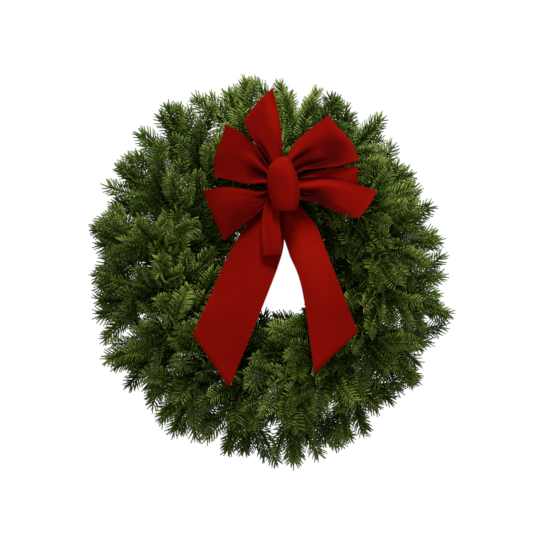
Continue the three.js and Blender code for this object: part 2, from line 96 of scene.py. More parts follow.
# Where the foliage is pressed down behind the bow: a line [x, z to x, z], how far from it, and
# the share of the depth that is left
PRESSED = (
    (BOW_X, BOW_Z, BOW_X, BOW_Z, 128, 0.76),
    (BOW_X, BOW_Z, -81, -133, 42, 0.86),
    (BOW_X, BOW_Z, 97, -120, 42, 0.86),
)
PRESS_EDGE = 30

# Twigs: radii at the root and the tip, share of the way without needles, steps and tone
TWIGS = {
    "leading": {"radii": (1.7, 0.8), "bare": 0.06, "steps": 12, "tone": 0.42},
    "branch": {"radii": (1.3, 0.7), "bare": 0.06, "steps": 12, "tone": 0.42},
    "side": {"radii": (0.9, 0.6), "bare": 0.1, "steps": 7, "tone": 0.4},
}
STUB_STEPS = 6
TWIG_PLACES = (0.2, 0.4, 0.6)
TWIG_SPREAD = 0.04
TWIG_LENGTHS = (96, 52)  # at the spray's root and at its tip
TWIG_SCALES = (0.85, 1.15)
TWIG_LEAN = 42
TWIG_LEAN_SPREAD = 6
TWIG_LIFT = (0.05, 0.1)  # mean and spread
SHORTER_TRIES = (1, 0.75, 0.5)
STRAIGHTENING = 0.4  # how far a side twig bends towards its spray's own heading
YOUNG_SHOOT = 30  # length of the short shoots that point forward
YOUNG_SCALES = (0.8, 1.15)
YOUNG_PLACES = (0.35, 0.65)
YOUNG_ONWARD = 0.35
YOUNG_SPREAD = 0.2
TIP_RISE = {"outer": 6, "face": 16, "inner": 10}  # how far the sprays' tips bend forward
SIDE_RISE = 0.6  # share of it at the side twigs
RISE_WAY = (0.45, 1.1)
RISE_POWER = 1.5
UPPER_REACH = 120
UPPER_LEAN = 0.6  # how far a spray that ends UPPER_REACH off the ring faces outwards
UPPER_SPREAD = 0.14
HOLE = {"middle": (22, -8), "half": (50, 65)}  # the hole that shoots keep out of, x and z
BOW_CLEARANCE = 3
FRONT_LIMIT = 134  # the boughs' needles and twigs end here
BACK_LIMIT = 2.5

# Needles
NEEDLE_LENGTH = 21.5
LENGTH_SPREAD = (0.84, 1.06)  # from shoot to shoot
LENGTH_JITTER = (0.88, 1.05)  # from needle to needle
END_SHORTER = 0.25  # share by which a shoot's first and last needles are shorter
SHORT_UNTIL = 0.15
SHORT_FROM = 0.75
NEEDLE_WIDTH = 2.1
NEEDLE_KEEL = 0.6
NEEDLE_RINGS = (0, 0.5, 1)  # shares of the needle's length
RING_WIDTHS = (0.6, 1, 0.6)
# Each ring has a left and a right corner and, but for the last, a keel below
NEEDLE_FACES = (
    (0, 1, 4), (0, 4, 3), (1, 2, 5), (1, 5, 4), (2, 0, 3), (2, 3, 5),
    (3, 4, 7), (3, 7, 6), (4, 5, 7), (5, 3, 6), (5, 6, 7),
)
RANK_SPACING = 4.2  # between two needles of one rank
PLACE_JITTER = 0.3
LEAST_NEEDLES = 12
NEEDLES_PAST_TIP = 6  # how far the needles reach past their twig's tip
# How needles stand: degrees round the twig from its upper side, in the order of growth, their
# lean from the twig on its upper side, and how far they bend towards its tip and upper side
STANCE = {"ranks": (-98, 32, 98, -32), "lean": 42, "curl": (0.4, 0.35)}
YOUNG_STANCE = {"ranks": (-150, 30, -90, 90, -30, 150), "lean": 58, "curl": (0.25, 0)}
WITH_LOWER = (-98, 32, 150, 98, -32, -150)  # ranks of the outer and inner boughs
RANK_TWIST = 7  # of all ranks of a shoot together
RANK_JITTER = 4
SIDE_LEAN = 62
TIP_LEAN = 36
LEAN_JITTER = 2.5
ENDING = (0.8, 1.05)  # where along the shoot the needles start to close round its tip
CURL_JITTER = 0.035
FACING_ONWARD = 0.5  # how far the needles' flat sides turn towards the twig's tip
FACING_JITTER = 0.15
NEEDLE_CLEARANCE = (0.8, 0.9)  # from the ribbon, ahead of a needle's tip and round it

# Tones of the needles, from 0 dark to 1 light
YOUNG_TONE = 0.75
SHOOT_SPREAD = 0.17
SHOOT_LIMITS = (0.08, 0.92)
TIP_TONE = 0.16
TIP_TONE_FROM = 0.6
TONE_JITTER = 0.09
TONE_LIMITS = (0.02, 0.98)

# Buds
BUD_SHARE = 0.28  # share of the twigs whose buds have formed
SECOND_BUD_SHARE = 0.5
BUD_LENGTHS = (3, 2.6)
BUD_SCALES = (0.85, 1.2)
BUD_SPREAD = 0.6
BUD_SINK = 0.6  # how far a bud's root lies inside its twig
BUD_PROFILE = ((0, 0.5), (0.35, 1), (0.8, 0.6), (1, 0.08))  # share of the way, share of the girth
BUD_GIRTH = 0.4

TINY = 1e-6
ANY_DIRECTION = (0.31, 0.9, 0.27)  # no path runs along it


def unit(vectors):
    return vectors / np.linalg.norm(vectors, axis=-1, keepdims=True)


def path_length(path):
    return np.linalg.norm(np.diff(path, axis=0), axis=1).sum()


def lerp(a, b, share):
    return a + (b - a) * share


def smooth(value, low, high):
    share = np.clip((value - low) / (high - low), 0, 1)
    return share * share * (3 - 2 * share)


# A place at a distance from the middle, a clock angle and a depth forward
def at(radius, clock, depth):
    return np.array([radius * math.sin(clock), -depth, radius * math.cos(clock)])


def clockwise(clock, rise):
    return unit(np.array([math.cos(clock), -math.tan(rise), -math.sin(clock)]))


# A place as seen from the front, with its depth forward
def seen(x, z, depth):
    return np.array([x, -depth, z], float)


# The same repeatable numbers from -1 to 1 as in the frame's source
def draw(*keys):
    factor, key_factor, shift, size = 16807, 7919, 12345, 2147483647
    state = SEED
    for key in (*keys, 1, 2):
        state = (state * factor + key * key_factor + shift) % size
    return 2 * state / size - 1


# The even outline that the sprays' tips follow
def reach(clock):
    return 1 / math.hypot(math.sin(clock) / HALF_WIDTH, math.cos(clock) / HALF_HEIGHT)


def pressed(point):
    share = 1
    flat = point[[0, 2]]
    for x0, z0, x1, z1, radius, least in PRESSED:
        start = np.array([x0, z0], float)
        run = np.array([x1 - x0, z1 - z0 + TINY])
        along = np.clip(np.dot(flat - start, run) / np.dot(run, run), 0, 1)
        gap = np.linalg.norm(flat - start - along * run)
        inside = 1 - smooth(gap, radius, radius + PRESS_EDGE)
        share = min(share, lerp(1, least, inside))
    return point * (1, share, 1)


# Curves of three control points
def bezier(control, way):
    a, b, c = control
    t = np.asarray(way, float)[..., None]
    return (1 - t) ** 2 * a + 2 * t * (1 - t) * b + t**2 * c


def bezier_heading(control, way):
    a, b, c = control
    return unit((1 - way) * (b - a) + way * (c - b))


# A smooth curve through all its points
def through(points, ways):
    points = np.asarray(points, float)
    ends = np.vstack([2 * points[0] - points[1], points, 2 * points[-1] - points[-2]])
    place = np.clip(np.asarray(ways, float), 0, 1) * (len(points) - 1)
    step = np.minimum(place.astype(int), len(points) - 2)
    t = (place - step)[..., None]
    p0, p1, p2, p3 = (ends[step + k] for k in range(4))
    return 0.5 * (2 * p1 + (p2 - p0) * t + (2 * p0 - 5 * p1 + 4 * p2 - p3) * t**2
                  + (3 * p1 - p0 - 3 * p2 + p3) * t**3)


def through_places(places, ways):
    return through([seen(*place) for place in places], ways)


# 1 in the middle, falling off smoothly on both sides
def hump(value, middle, half_width):
    return np.exp(-(((value - middle) / half_width) ** 2))


def new_object(name, data):
    made = bpy.data.objects.new(name, data)
    bpy.context.scene.collection.objects.link(made)
    return made


# A piece of the scene, which stands for a node of the frame
def new_piece(name, replaced, slot, points, faces, materials, face_material=None):
    mesh = bpy.data.meshes.new(name)
    placed = (np.asarray(points, float) - (0, 0, HOOK_DROP)) * MM
    mesh.from_pydata(placed.tolist(), [], np.asarray(faces).tolist())
    for made in materials:
        mesh.materials.append(made)
    if face_material is not None:
        mesh.polygons.foreach_set("material_index", np.asarray(face_material, np.int32))
    mesh.polygons.foreach_set("use_smooth", np.ones(len(mesh.polygons), bool))
    mesh.update()
    piece = new_object(name, mesh)
    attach(piece, "root")
    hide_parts(replaced)
    return piece


def set_attribute(piece, name, kind, field, values):
    made = piece.data.attributes.new(name, kind, "POINT")
    made.data.foreach_set(field, values.astype(np.float32).ravel())


# The direction of a path at its points, and two directions across it that don't twist
def frames_along(path, closed=False):
    steps = np.roll(path, -1, 0) - np.roll(path, 1, 0)
    if not closed:
        steps[0] = path[1] - path[0]
        steps[-1] = path[-1] - path[-2]
    tangents = unit(steps)
    side = unit(np.cross(tangents[0], ANY_DIRECTION))
    sides = []
    for tangent in tangents:
        side = unit(side - np.dot(side, tangent) * tangent)
        sides.append(side)
    sides = np.array(sides)
    return tangents, sides, np.cross(tangents, sides)


# A round bar along a path, closed at its ends by flat caps
def bar(path, radii, sides, closed=False):
    _, across, up = frames_along(path, closed)
    angles = np.arange(sides) * 2 * math.pi / sides
    radii = np.broadcast_to(radii, len(path))[:, None, None]
    cosines, sines = np.cos(angles)[None, :, None], np.sin(angles)[None, :, None]
    outward = cosines * across[:, None] + sines * up[:, None]
    points = (path[:, None] + radii * outward).reshape(-1, 3)
    count = len(path)
    faces = []
    for i in range(count if closed else count - 1):
        for k in range(sides):
            this, following, beside = i * sides, (i + 1) % count * sides, (k + 1) % sides
            a, b, c, d = this + k, this + beside, following + beside, following + k
            faces += [(a, b, c), (a, c, d)]
    if not closed:
        points = np.vstack([points, path[0], path[-1]])
        for k in range(sides):
            faces.append(((k + 1) % sides, k, count * sides))
        for k in range(sides):
            end = (count - 1) * sides
            faces.append((end + k, end + (k + 1) % sides, count * sides + 1))
    return points, np.array(faces)


# Material nodes
def set_inputs(made, values):
    for name, value in values.items():
        made.inputs[name].default_value = value


def new_material(name, roughness, specular):
    made = bpy.data.materials.new(name)
    made.use_nodes = True
    shader = made.node_tree.nodes["Principled BSDF"]
    set_inputs(shader, {"Roughness": roughness, "Specular IOR Level": specular})
    return made, made.node_tree, shader


def node(tree, kind, **settings):
    made = tree.nodes.new(kind)
    for name, value in settings.items():
        setattr(made, name, value)
    return made


def ramp(tree, factor, stops):
    made = node(tree, "ShaderNodeValToRGB")
    elements = made.color_ramp.elements
    while len(elements) < len(stops):
        elements.new(0.5)
    for element, (place, colour) in zip(elements, stops):
        element.position = place
        element.color = (*colour, 1)
    tree.links.new(factor, made.inputs["Fac"])
    return made.outputs["Color"]


def noise(tree, scale, detail):
    made = node(tree, "ShaderNodeTexNoise")
    set_inputs(made, {"Scale": scale, "Detail": detail})
    place = node(tree, "ShaderNodeTexCoord").outputs["Object"]
    tree.links.new(place, made.inputs["Vector"])
    return made.outputs["Fac"]


# The colour of a surface, and the height that its bumps follow
def surface_of(tree, shader, colour, height, strength, distance):
    tree.links.new(colour, shader.inputs["Base Color"])
    made = node(tree, "ShaderNodeBump")
    set_inputs(made, {"Strength": strength, "Distance": distance})
    tree.links.new(height, made.inputs["Height"])
    tree.links.new(made.outputs["Normal"], shader.inputs["Normal"])


def math_of(tree, operation, one, other):
    made = node(tree, "ShaderNodeMath", operation=operation)
    for socket, value in zip(made.inputs, (one, other)):
        if isinstance(value, (int, float)):
            socket.default_value = value
        else:
            tree.links.new(value, socket)
    return made.outputs[0]


# How far a value lies above or below a level, times a strength
def about(tree, value, level, strength):
    return math_of(tree, "MULTIPLY", math_of(tree, "SUBTRACT", value, level), strength)


def mixed(tree, factor, one, other):
    made = node(tree, "ShaderNodeMix", data_type="RGBA")
    tree.links.new(factor, made.inputs["Factor"])
    for socket, value in ((made.inputs["A"], one), (made.inputs["B"], other)):
        if isinstance(value, tuple):
            socket.default_value = (*value, 1)
        else:
            tree.links.new(value, socket)
    return made.outputs["Result"]


# Tone ramps: place and colour
NEEDLE_TONES = (
    (0.0, (0.0095, 0.022, 0.0012)),
    (0.35, (0.029, 0.062, 0.0035)),
    (0.7, (0.086, 0.150, 0.010)),
    (1.0, (0.215, 0.285, 0.042)),
)
NEEDLE_UNDERSIDE = (0.10, 0.145, 0.04)
UNDERSIDE_SHARE = 0.6
NEEDLE_TIP_LIGHTER = 0.4
PATCH_LEVEL = 0.7
PATCH_STRENGTH = 0.35
BARK_TONES = ((0.3, (0.03, 0.022, 0.008)), (0.6, (0.075, 0.055, 0.018)), (0.8, (0.14, 0.10, 0.035)))
BUD_TONES = ((0.3, (0.08, 0.03, 0.006)), (0.7, (0.2, 0.085, 0.014)))
RING_TONES = ((0.35, (0.018, 0.030, 0.016)), (0.75, (0.05, 0.065, 0.04)))
WIRE_TONES = ((0.35, (0.012, 0.045, 0.014)), (0.75, (0.03, 0.09, 0.03)))
VELVET_TONES = (
    (0, (0.02, 0.0002, 0.0001)),
    (0.3, (0.065, 0.0005, 0.0002)),
    (0.5, (0.15, 0.0016, 0.0004)),
    (0.75, (0.24, 0.0034, 0.0008)),
    (1, (0.33, 0.006, 0.0018)),
)
VELVET_SHEEN = {"Sheen Weight": 0.14, "Sheen Roughness": 0.5, "Sheen Tint": (0.9, 0.045, 0.02, 1)}
NAP_PATCHES = 0.75  # shares of the soft patches and of the pile in its unevenness
NAP_PILE = 0.25
NAP_MIDDLE = 0.5
NAP_UNEVENNESS = 0.3


# Waxy needles: each has a tone of its own, is lighter towards its tip, and is paler below
def needle_material():
    made, tree, shader = new_material("fir_needles", roughness=0.42, specular=0.22)
    tint = node(tree, "ShaderNodeAttribute", attribute_name="tint")
    parts = node(tree, "ShaderNodeSeparateColor")
    tree.links.new(tint.outputs["Color"], parts.inputs["Color"])
    tone, along, under = parts.outputs
    patches = about(tree, noise(tree, scale=14, detail=3), PATCH_LEVEL, PATCH_STRENGTH)
    patchy = math_of(tree, "ADD", tone, patches)
    lightness = math_of(tree, "ADD", patchy, math_of(tree, "MULTIPLY", along, NEEDLE_TIP_LIGHTER))
    below = math_of(tree, "MULTIPLY", under, UNDERSIDE_SHARE)
    colour = mixed(tree, below, ramp(tree, lightness, NEEDLE_TONES), NEEDLE_UNDERSIDE)
    surface_of(tree, shader, colour, noise(tree, scale=900, detail=2), strength=0.12, distance=0.0002)
    return made


def bark_material():
    made, tree, shader = new_material("fir_bark", roughness=0.75, specular=0.3)
    grain = noise(tree, scale=260, detail=5)
    surface_of(tree, shader, ramp(tree, grain, BARK_TONES), grain, strength=0.5, distance=0.0006)
    return made


def bud_material():
    made, tree, shader = new_material("fir_buds", roughness=0.4, specular=0.5)
    colour = ramp(tree, noise(tree, scale=420, detail=3), BUD_TONES)
    surface_of(tree, shader, colour, noise(tree, scale=900, detail=3), strength=0.4, distance=0.0003)
    return made


# Velvet: a short pile that brightens where it is seen edge on and lies in soft patches; its tone
# also carries painted shade and painted highlights that the ribbons hold at their points
def velvet_material():
    made, tree, shader = new_material("red_velvet", roughness=0.9, specular=0.03)
    patches = math_of(tree, "MULTIPLY", noise(tree, scale=22, detail=4), NAP_PATCHES)
    pile = noise(tree, scale=1600, detail=2)
    blend = math_of(tree, "ADD", patches, math_of(tree, "MULTIPLY", pile, NAP_PILE))
    unevenness = about(tree, blend, NAP_MIDDLE, NAP_UNEVENNESS)
    # painted shade and painted highlights, read from the ribbons' points
    painted_shading = node(tree, "ShaderNodeAttribute", attribute_name="painted_light").outputs["Fac"]
    colour = ramp(tree, math_of(tree, "ADD", painted_shading, unevenness), VELVET_TONES)
    surface_of(tree, shader, colour, pile, strength=0.35, distance=0.0004)
    set_inputs(shader, VELVET_SHEEN)
    return made


def enamel_material(name, tones, roughness):
    made, tree, shader = new_material(name, roughness, specular=0.5)
    wear = noise(tree, scale=300, detail=4)
    surface_of(tree, shader, ramp(tree, wear, tones), wear, strength=0.1, distance=0.0002)
    return made


# Boughs, laid out as in the frame's source
def station_clock(station):
    return station * 2 * math.pi / STATIONS + math.radians(STATION_SHIFT)


def stub_curve(station, row):
    seat_distance = RING_WIRE + STUB_RADIUS + SEAT_GAP
    radius = RING_RADIUS + seat_distance * math.cos(math.radians(row["seat"]))
    depth = seat_distance * math.sin(math.radians(row["seat"]))
    start = station_clock(station) + math.radians(STUB_START)
    end = station_clock(station) + math.radians(STUB_END)
    half = (end - start) / 2
    return at(radius, start, depth), at(radius / math.cos(half), start + half, depth), at(radius, end, depth)


def spray_curve(root, heading, tip_place, clock, keys, attempt):
    share, degrees, depth = tip_place
    wider = 1 + WIDENING * (attempt / TRIES)
    outward, onward, forward = (wider * draw(*keys, attempt, axis) for axis in range(3))
    turn = clock + math.radians(degrees + CLOCK_SPREAD * onward)
    out = reach(turn) * (share + RADIUS_SPREAD * min(outward, 1))
    tip = pressed(at(out, turn, depth + DEPTH_SPREAD * forward))
    bend = root + heading * BEND_AT * np.linalg.norm(root - tip)
    return root, bend, tip


# The try that the frame's bough was laid on, whose tip is a corner of its solid
def laid_spray(root, heading, tip_place, clock, keys, corners):
    tries = [spray_curve(root, heading, tip_place, clock, keys, n) for n in range(TRIES)]
    gaps = [np.linalg.norm(corners - tip, axis=1).min() for _, _, tip in tries]
    return tries[int(np.argmin(gaps))]


def bough_curves(name, station, row_index, row):
    corners = np.array([v.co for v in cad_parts[name].data.vertices]) / MM + (0, 0, HOOK_DROP)
    clock = station_clock(station)
    stub = stub_curve(station, row)
    heading = clockwise(clock + math.radians(STUB_END - row["slant"]), math.radians(row["rise"]))
    main = laid_spray(stub[2], heading, row["tips"][0], clock, (station, row_index, 0), corners)
    sprays = [main]
    for i in (1, 2):
        root = bezier(main, BRANCH_AT[i])
        heading = bezier_heading(main, BRANCH_AT[i])
        sprays.append(laid_spray(root, heading, row["tips"][i], clock, (station, row_index, i), corners))
    return stub, sprays


def tone_of(middle, rng):
    return float(np.clip(rng.normal(middle, SHOOT_SPREAD), *SHOOT_LIMITS))


# A twig with needles
def shoot(kind, control, up, rise, rng):
    made = {**TWIGS[kind], **STANCE, "up": up}
    shortened = 1 - NEEDLES_PAST_TIP / np.linalg.norm(control[2] - control[0])
    path = bezier(control, np.linspace(0, shortened, made["steps"]))
    path[:, 1] -= rise * smooth(np.linspace(0, 1, made["steps"]), *RISE_WAY) ** RISE_POWER
    path[:, 1] = np.clip(path[:, 1], -FRONT_LIMIT, BACK_LIMIT)
    return {**made, "path": path, "tone": tone_of(made["tone"], rng)}


# The upper side of a spray faces the front, a little outwards from the wreath's round body
def upper_side(control, rng):
    tip = control[2]
    clock = math.atan2(tip[0], tip[2])
    outward = (math.hypot(tip[0], tip[2]) - RING_RADIUS) / UPPER_REACH
    up = seen(math.sin(clock) * outward * UPPER_LEAN, math.cos(clock) * outward * UPPER_LEAN, 1)
    return unit(up + rng.normal(0, UPPER_SPREAD, 3))


# Whether a straight stretch keeps clear of the bow, also ahead of its end and round it
def clear_of(ribbons, start, end, ahead=BOW_CLEARANCE, around=BOW_CLEARANCE):
    run = Vector(end - start)
    hit = ribbons.ray_cast(Vector(start), run.normalized(), run.length + ahead)[0]
    return hit is None and ribbons.find_nearest(Vector(end), around)[0] is None


def in_hole(point):
    off = (point[[0, 2]] - HOLE["middle"]) / HOLE["half"]
    return np.dot(off, off) < 1


# The longest of three tries that stays inside the wreath's outline and clear of the bow
def clear_shoot(root, leaving, heading, length, up, rise, ribbons, rng):
    for share in SHORTER_TRIES:
        bend = root + leaving * 0.5 * share * length
        tip = bend + unit(leaving + STRAIGHTENING * heading) * 0.5 * share * length
        inside = math.hypot(tip[0], tip[2]) < reach(math.atan2(tip[0], tip[2]))
        if inside and not in_hole(tip) and clear_of(ribbons, root, tip):
            return [shoot("side", (root, bend, tip), up, rise, rng)]
    return []


def side_shoots(control, up, rise, rng, ribbons):
    made = []
    flip = 1 if rng.random() < 0.5 else -1
    for n, place in enumerate(TWIG_PLACES):
        along = place + rng.uniform(-TWIG_SPREAD, TWIG_SPREAD)
        heading = bezier_heading(control, along)
        across = unit(np.cross(up, heading)) * flip * (-1) ** n
        lean = math.radians(TWIG_LEAN + rng.normal(0, TWIG_LEAN_SPREAD))
        lift = rng.normal(*TWIG_LIFT)
        leaving = unit(heading * math.cos(lean) + across * math.sin(lean) + up * lift)
        length = lerp(*TWIG_LENGTHS, along) * rng.uniform(*TWIG_SCALES)
        made += clear_shoot(bezier(control, along), leaving, heading, length, up, rise, ribbons, rng)
    return made


# A short shoot that stands up from the spray towards the front, with needles all round
def young_shoot(control, up, rng, ribbons):
    along = rng.uniform(*YOUNG_PLACES)
    heading = bezier_heading(control, along)
    leaving = unit(up + YOUNG_ONWARD * heading + rng.normal(0, YOUNG_SPREAD, 3))
    length = YOUNG_SHOOT * rng.uniform(*YOUNG_SCALES)
    made = clear_shoot(bezier(control, along), leaving, leaving, length, heading, 0, ribbons, rng)
    for one in made:
        one.update(YOUNG_STANCE, tone=tone_of(YOUNG_TONE, rng))
    return made


# The needles' shares of the way along their shoot, their roots, the twig's direction and
# upper side there, and the direction in which they leave it
def needle_places(made, rng):
    path, up, bare = made["path"], made["up"], made["bare"]
    length = path_length(path) * (1 - bare)
    ranks = np.array(made["ranks"])
    count = max(LEAST_NEEDLES, int(length / RANK_SPACING * len(ranks)))
    share = (np.arange(count) + PLACE_JITTER * rng.random(count)) / count
    place = lerp(bare, 1, share) * (len(path) - 1)
    step = np.minimum(place.astype(int), len(path) - 2)
    onward = (place - step)[:, None]
    root = lerp(path[step], path[step + 1], onward)
    tangents = frames_along(path)[0]
    twig = unit(lerp(tangents[step], tangents[step + 1], onward))
    upper = unit(up - (twig @ up)[:, None] * twig)
    rank = ranks[np.arange(count) % len(ranks)]
    turn = np.radians(rank + rng.normal(0, RANK_TWIST) + rng.normal(0, RANK_JITTER, count))
    out = np.cos(turn)[:, None] * upper + np.sin(turn)[:, None] * np.cross(twig, upper)
    lean = lerp(made["lean"], SIDE_LEAN, np.abs(np.sin(turn)))
    lean = lerp(lean, TIP_LEAN, smooth(share, *ENDING))
    lean = np.radians(lean + rng.normal(0, LEAN_JITTER, count))[:, None]
    return share, root, twig, upper, np.cos(lean) * twig + np.sin(lean) * out


# All the needles of a shoot at once: roots, the middles of their rings along a curved line,
# the way that their flat sides face, and tones
def needles(made, rng):
    share, root, twig, upper, start = needle_places(made, rng)
    count = len(share)
    forward, upward = made["curl"]
    end = unit(start + forward * twig + upward * upper + rng.normal(0, CURL_JITTER, (count, 3)))
    longest = NEEDLE_LENGTH * rng.uniform(*LENGTH_SPREAD)
    shorter_at_root = END_SHORTER * (1 - smooth(share, 0, SHORT_UNTIL))
    size = longest * (1 - shorter_at_root - END_SHORTER * smooth(share, SHORT_FROM, 1))
    size = (size * rng.uniform(*LENGTH_JITTER, count))[:, None]
    rings = [root + size * (start * s + 0.5 * (end - start) * s * s) for s in NEEDLE_RINGS]
    for ring in rings:
        ring[:, 1] = np.clip(ring[:, 1], -FRONT_LIMIT, BACK_LIMIT)
    facing = unit(upper + FACING_ONWARD * twig + rng.normal(0, FACING_JITTER, (count, 3)))
    tone = made["tone"] + TIP_TONE * smooth(share, TIP_TONE_FROM, 1) + rng.normal(0, TONE_JITTER, count)
    return root, rings, facing, np.clip(tone, *TONE_LIMITS)


def needle_mesh(rings, facing, tone):
    count = len(tone)
    points, tints = [], []
    for n, (share, width) in enumerate(zip(NEEDLE_RINGS, RING_WIDTHS)):
        run = unit(rings[min(n + 1, 2)] - rings[min(n, 1)])
        flat = unit(facing - np.sum(facing * run, axis=1, keepdims=True) * run)
        across = np.cross(run, flat) * NEEDLE_WIDTH / 2 * width
        keel = rings[n] - flat * NEEDLE_KEEL * width
        corners = [(rings[n] - across, 0), (rings[n] + across, 0), (keel, 1)]
        for where, under in corners if share < 1 else corners[:2]:
            points.append(where)
            tints.append(np.stack(np.broadcast_arrays(tone, share, under, 1.0), 1))
    starts = np.arange(count)[:, None, None] * len(points)
    faces = (starts + np.array(NEEDLE_FACES)).reshape(-1, 3)
    return np.stack(points, 1).reshape(-1, 3), faces, np.stack(tints, 1).reshape(-1, 4)


def free_needles(root, tips, ribbons, low, high):
    near = ((np.maximum(root, tips) > low) & (np.minimum(root, tips) < high)).all(axis=1)
    keep = np.ones(len(root), bool)
    for n in np.flatnonzero(near):
        keep[n] = clear_of(ribbons, root[n], tips[n], *NEEDLE_CLEARANCE)
    return keep


# A bud: a small pointed egg at the end of a twig
def bud(place, direction, size):
    share, girth = np.array(BUD_PROFILE).T
    return bar(place + direction * (share[:, None] * size), girth * size * BUD_GIRTH, sides=5)


def bud_cluster(made, rng):
    tip = made["path"][-1]
    heading = unit(tip - made["path"][-2])
    spots = [(heading, BUD_LENGTHS[0])] if rng.random() < BUD_SHARE else []
    if spots and rng.random() < SECOND_BUD_SHARE:
        spots.append((unit(heading + rng.normal(0, BUD_SPREAD, 3)), BUD_LENGTHS[1]))
    root = tip - heading * BUD_SINK
    return [bud(root, direction, size * rng.uniform(*BUD_SCALES)) for direction, size in spots]


def joined(parts):
    points, faces, start = [], [], 0
    for some_points, some_faces in parts:
        points.append(some_points)
        faces.append(some_faces + start)
        start += len(some_points)
    return np.vstack(points), np.vstack(faces)


# A shoot's path, drawn out or in to follow the wreath's uneven outline
def drawn_out(path):
    radii = np.hypot(path[:, 0], path[:, 2])
    clocks = np.degrees(np.arctan2(path[:, 0], path[:, 2]))
    shares = np.interp(clocks, *np.array(OUTLINE).T, period=360)
    stretch = 1 + np.maximum(0, radii - RING_RADIUS) * (shares - 1) / radii
    return path * np.stack([stretch, np.ones(len(path)), stretch], 1)


# A shoot, ended where it would run into the wreath's hole or through the bow
def kept_clear(made, ribbons):
    path = drawn_out(made["path"])
    for n in range(len(path) - 1):
        if in_hole(path[n + 1]) or not clear_of(ribbons, path[n], path[n + 1]):
            path = path[:n]
            break
    return [] if len(path) < 3 else [{**made, "path": path}]


# The main twig of each spray, its side twigs and, on the face boughs, young shoots
def bough_shoots(row_name, sprays, ribbons, rng):
    made = []
    rise = TIP_RISE[row_name]
    for i, control in enumerate(sprays):
        up = upper_side(control, rng)
        made.append(shoot("branch" if i else "leading", control, up, rise, rng))
        made += side_shoots(control, up, rise * SIDE_RISE, rng, ribbons)
        if row_name == "face" and i != 1:
            made += young_shoot(control, up, rng, ribbons)
    shoots = [kept for one in made for kept in kept_clear(one, ribbons)]
    if row_name != "face":
        for one in shoots:
            one["ranks"] = WITH_LOWER
    return shoots


def build_bough(row_name, row_index, row, station, ribbons, limits, materials):
    name = f"bough_{row_name}_{station + 1:02d}"
    rng = np.random.default_rng([SEED, station, row_index])
    stub, sprays = bough_curves(name, station, row_index, row)
    shoots = bough_shoots(row_name, sprays, ribbons, rng)
    wood = [bar(bezier(stub, np.linspace(0, 1, STUB_STEPS)), STUB_RADIUS, sides=10)]
    for made in shoots:
        wood.append(bar(made["path"], np.linspace(*made["radii"], len(made["path"])), sides=5))
    buds = [part for made in shoots for part in bud_cluster(made, rng)]
    leafy = []
    for made in shoots:
        root, rings, facing, tone = needles(made, rng)
        keep = free_needles(root, rings[-1], ribbons, *limits)
        leafy.append(needle_mesh([ring[keep] for ring in rings], facing[keep], tone[keep]))
    parts = [(points, faces) for points, faces, _ in leafy] + wood + buds
    points, faces = joined(parts)
    kinds = [0] * len(leafy) + [1] * len(wood) + [2] * len(buds)
    face_material = np.repeat(kinds, [len(part[1]) for part in parts])
    piece = new_piece(name + "_sprays", name, "foliage", points, faces, materials, face_material)
    values = np.ones((len(points), 4), np.float32)
    tints = np.vstack([part[2] for part in leafy])
    values[:len(tints)] = tints
    set_attribute(piece, "tint", "FLOAT_COLOR", "color", values)


def build_foliage(ribbons, limits):
    materials = (needle_material(), bark_material(), bud_material())
    for station in range(STATIONS):
        for row_index, (row_name, row) in enumerate(ROWS.items()):
            build_bough(row_name, row_index, row, station, ribbons, limits, materials)


# Ribbon surfaces. A surface gives points for arrays of the way along and the place
# across; ribbon() gives it its thickness and its slightly thicker woven edges.
ACROSS_STEPS = 30
EDGE_CROWDING = 1.35  # how much closer its rows of points stand towards its edges
SELVEDGE_WIDTH = 0.9
SLOPE_STEP = 1e-3


def across_places():
    even = np.linspace(-1, 1, ACROSS_STEPS + 1)
    return 0.5 * np.sign(even) * (1 - (1 - np.abs(even)) ** EDGE_CROWDING)


def ribbon_normals(surface, along, across, closed):
    before, after = along - SLOPE_STEP, along + SLOPE_STEP
    before, after = (before % 1, after % 1) if closed else (np.maximum(before, 0), np.minimum(after, 1))
    run = surface(after, across) - surface(before, across)
    wide = surface(along, np.minimum(across + SLOPE_STEP, 0.5))
    return unit(np.cross(run, wide - surface(along, np.maximum(across - SLOPE_STEP, -0.5))))


# Four-sided faces on both sides of a ribbon and round its edges
def ribbon_faces(count, wide_count, closed):
    faces = []

    def add(*corners):
        faces.append([(side * count + i % count) * wide_count + k for i, k, side in corners])

    last, end = wide_count - 1, count - 1
    for i in range(count if closed else end):
        j = i + 1
        for k in range(last):
            add((i, k, 0), (j, k, 0), (j, k + 1, 0), (i, k + 1, 0))
            add((i, k, 1), (i, k + 1, 1), (j, k + 1, 1), (j, k, 1))
        add((i, 0, 0), (i, 0, 1), (j, 0, 1), (j, 0, 0))
        add((i, last, 0), (j, last, 0), (j, last, 1), (i, last, 1))
    for k in range(0 if closed else last):
        add((0, k, 0), (0, k + 1, 0), (0, k + 1, 1), (0, k, 1))
        add((end, k, 0), (end, k, 1), (end, k + 1, 1), (end, k + 1, 0))
    return faces


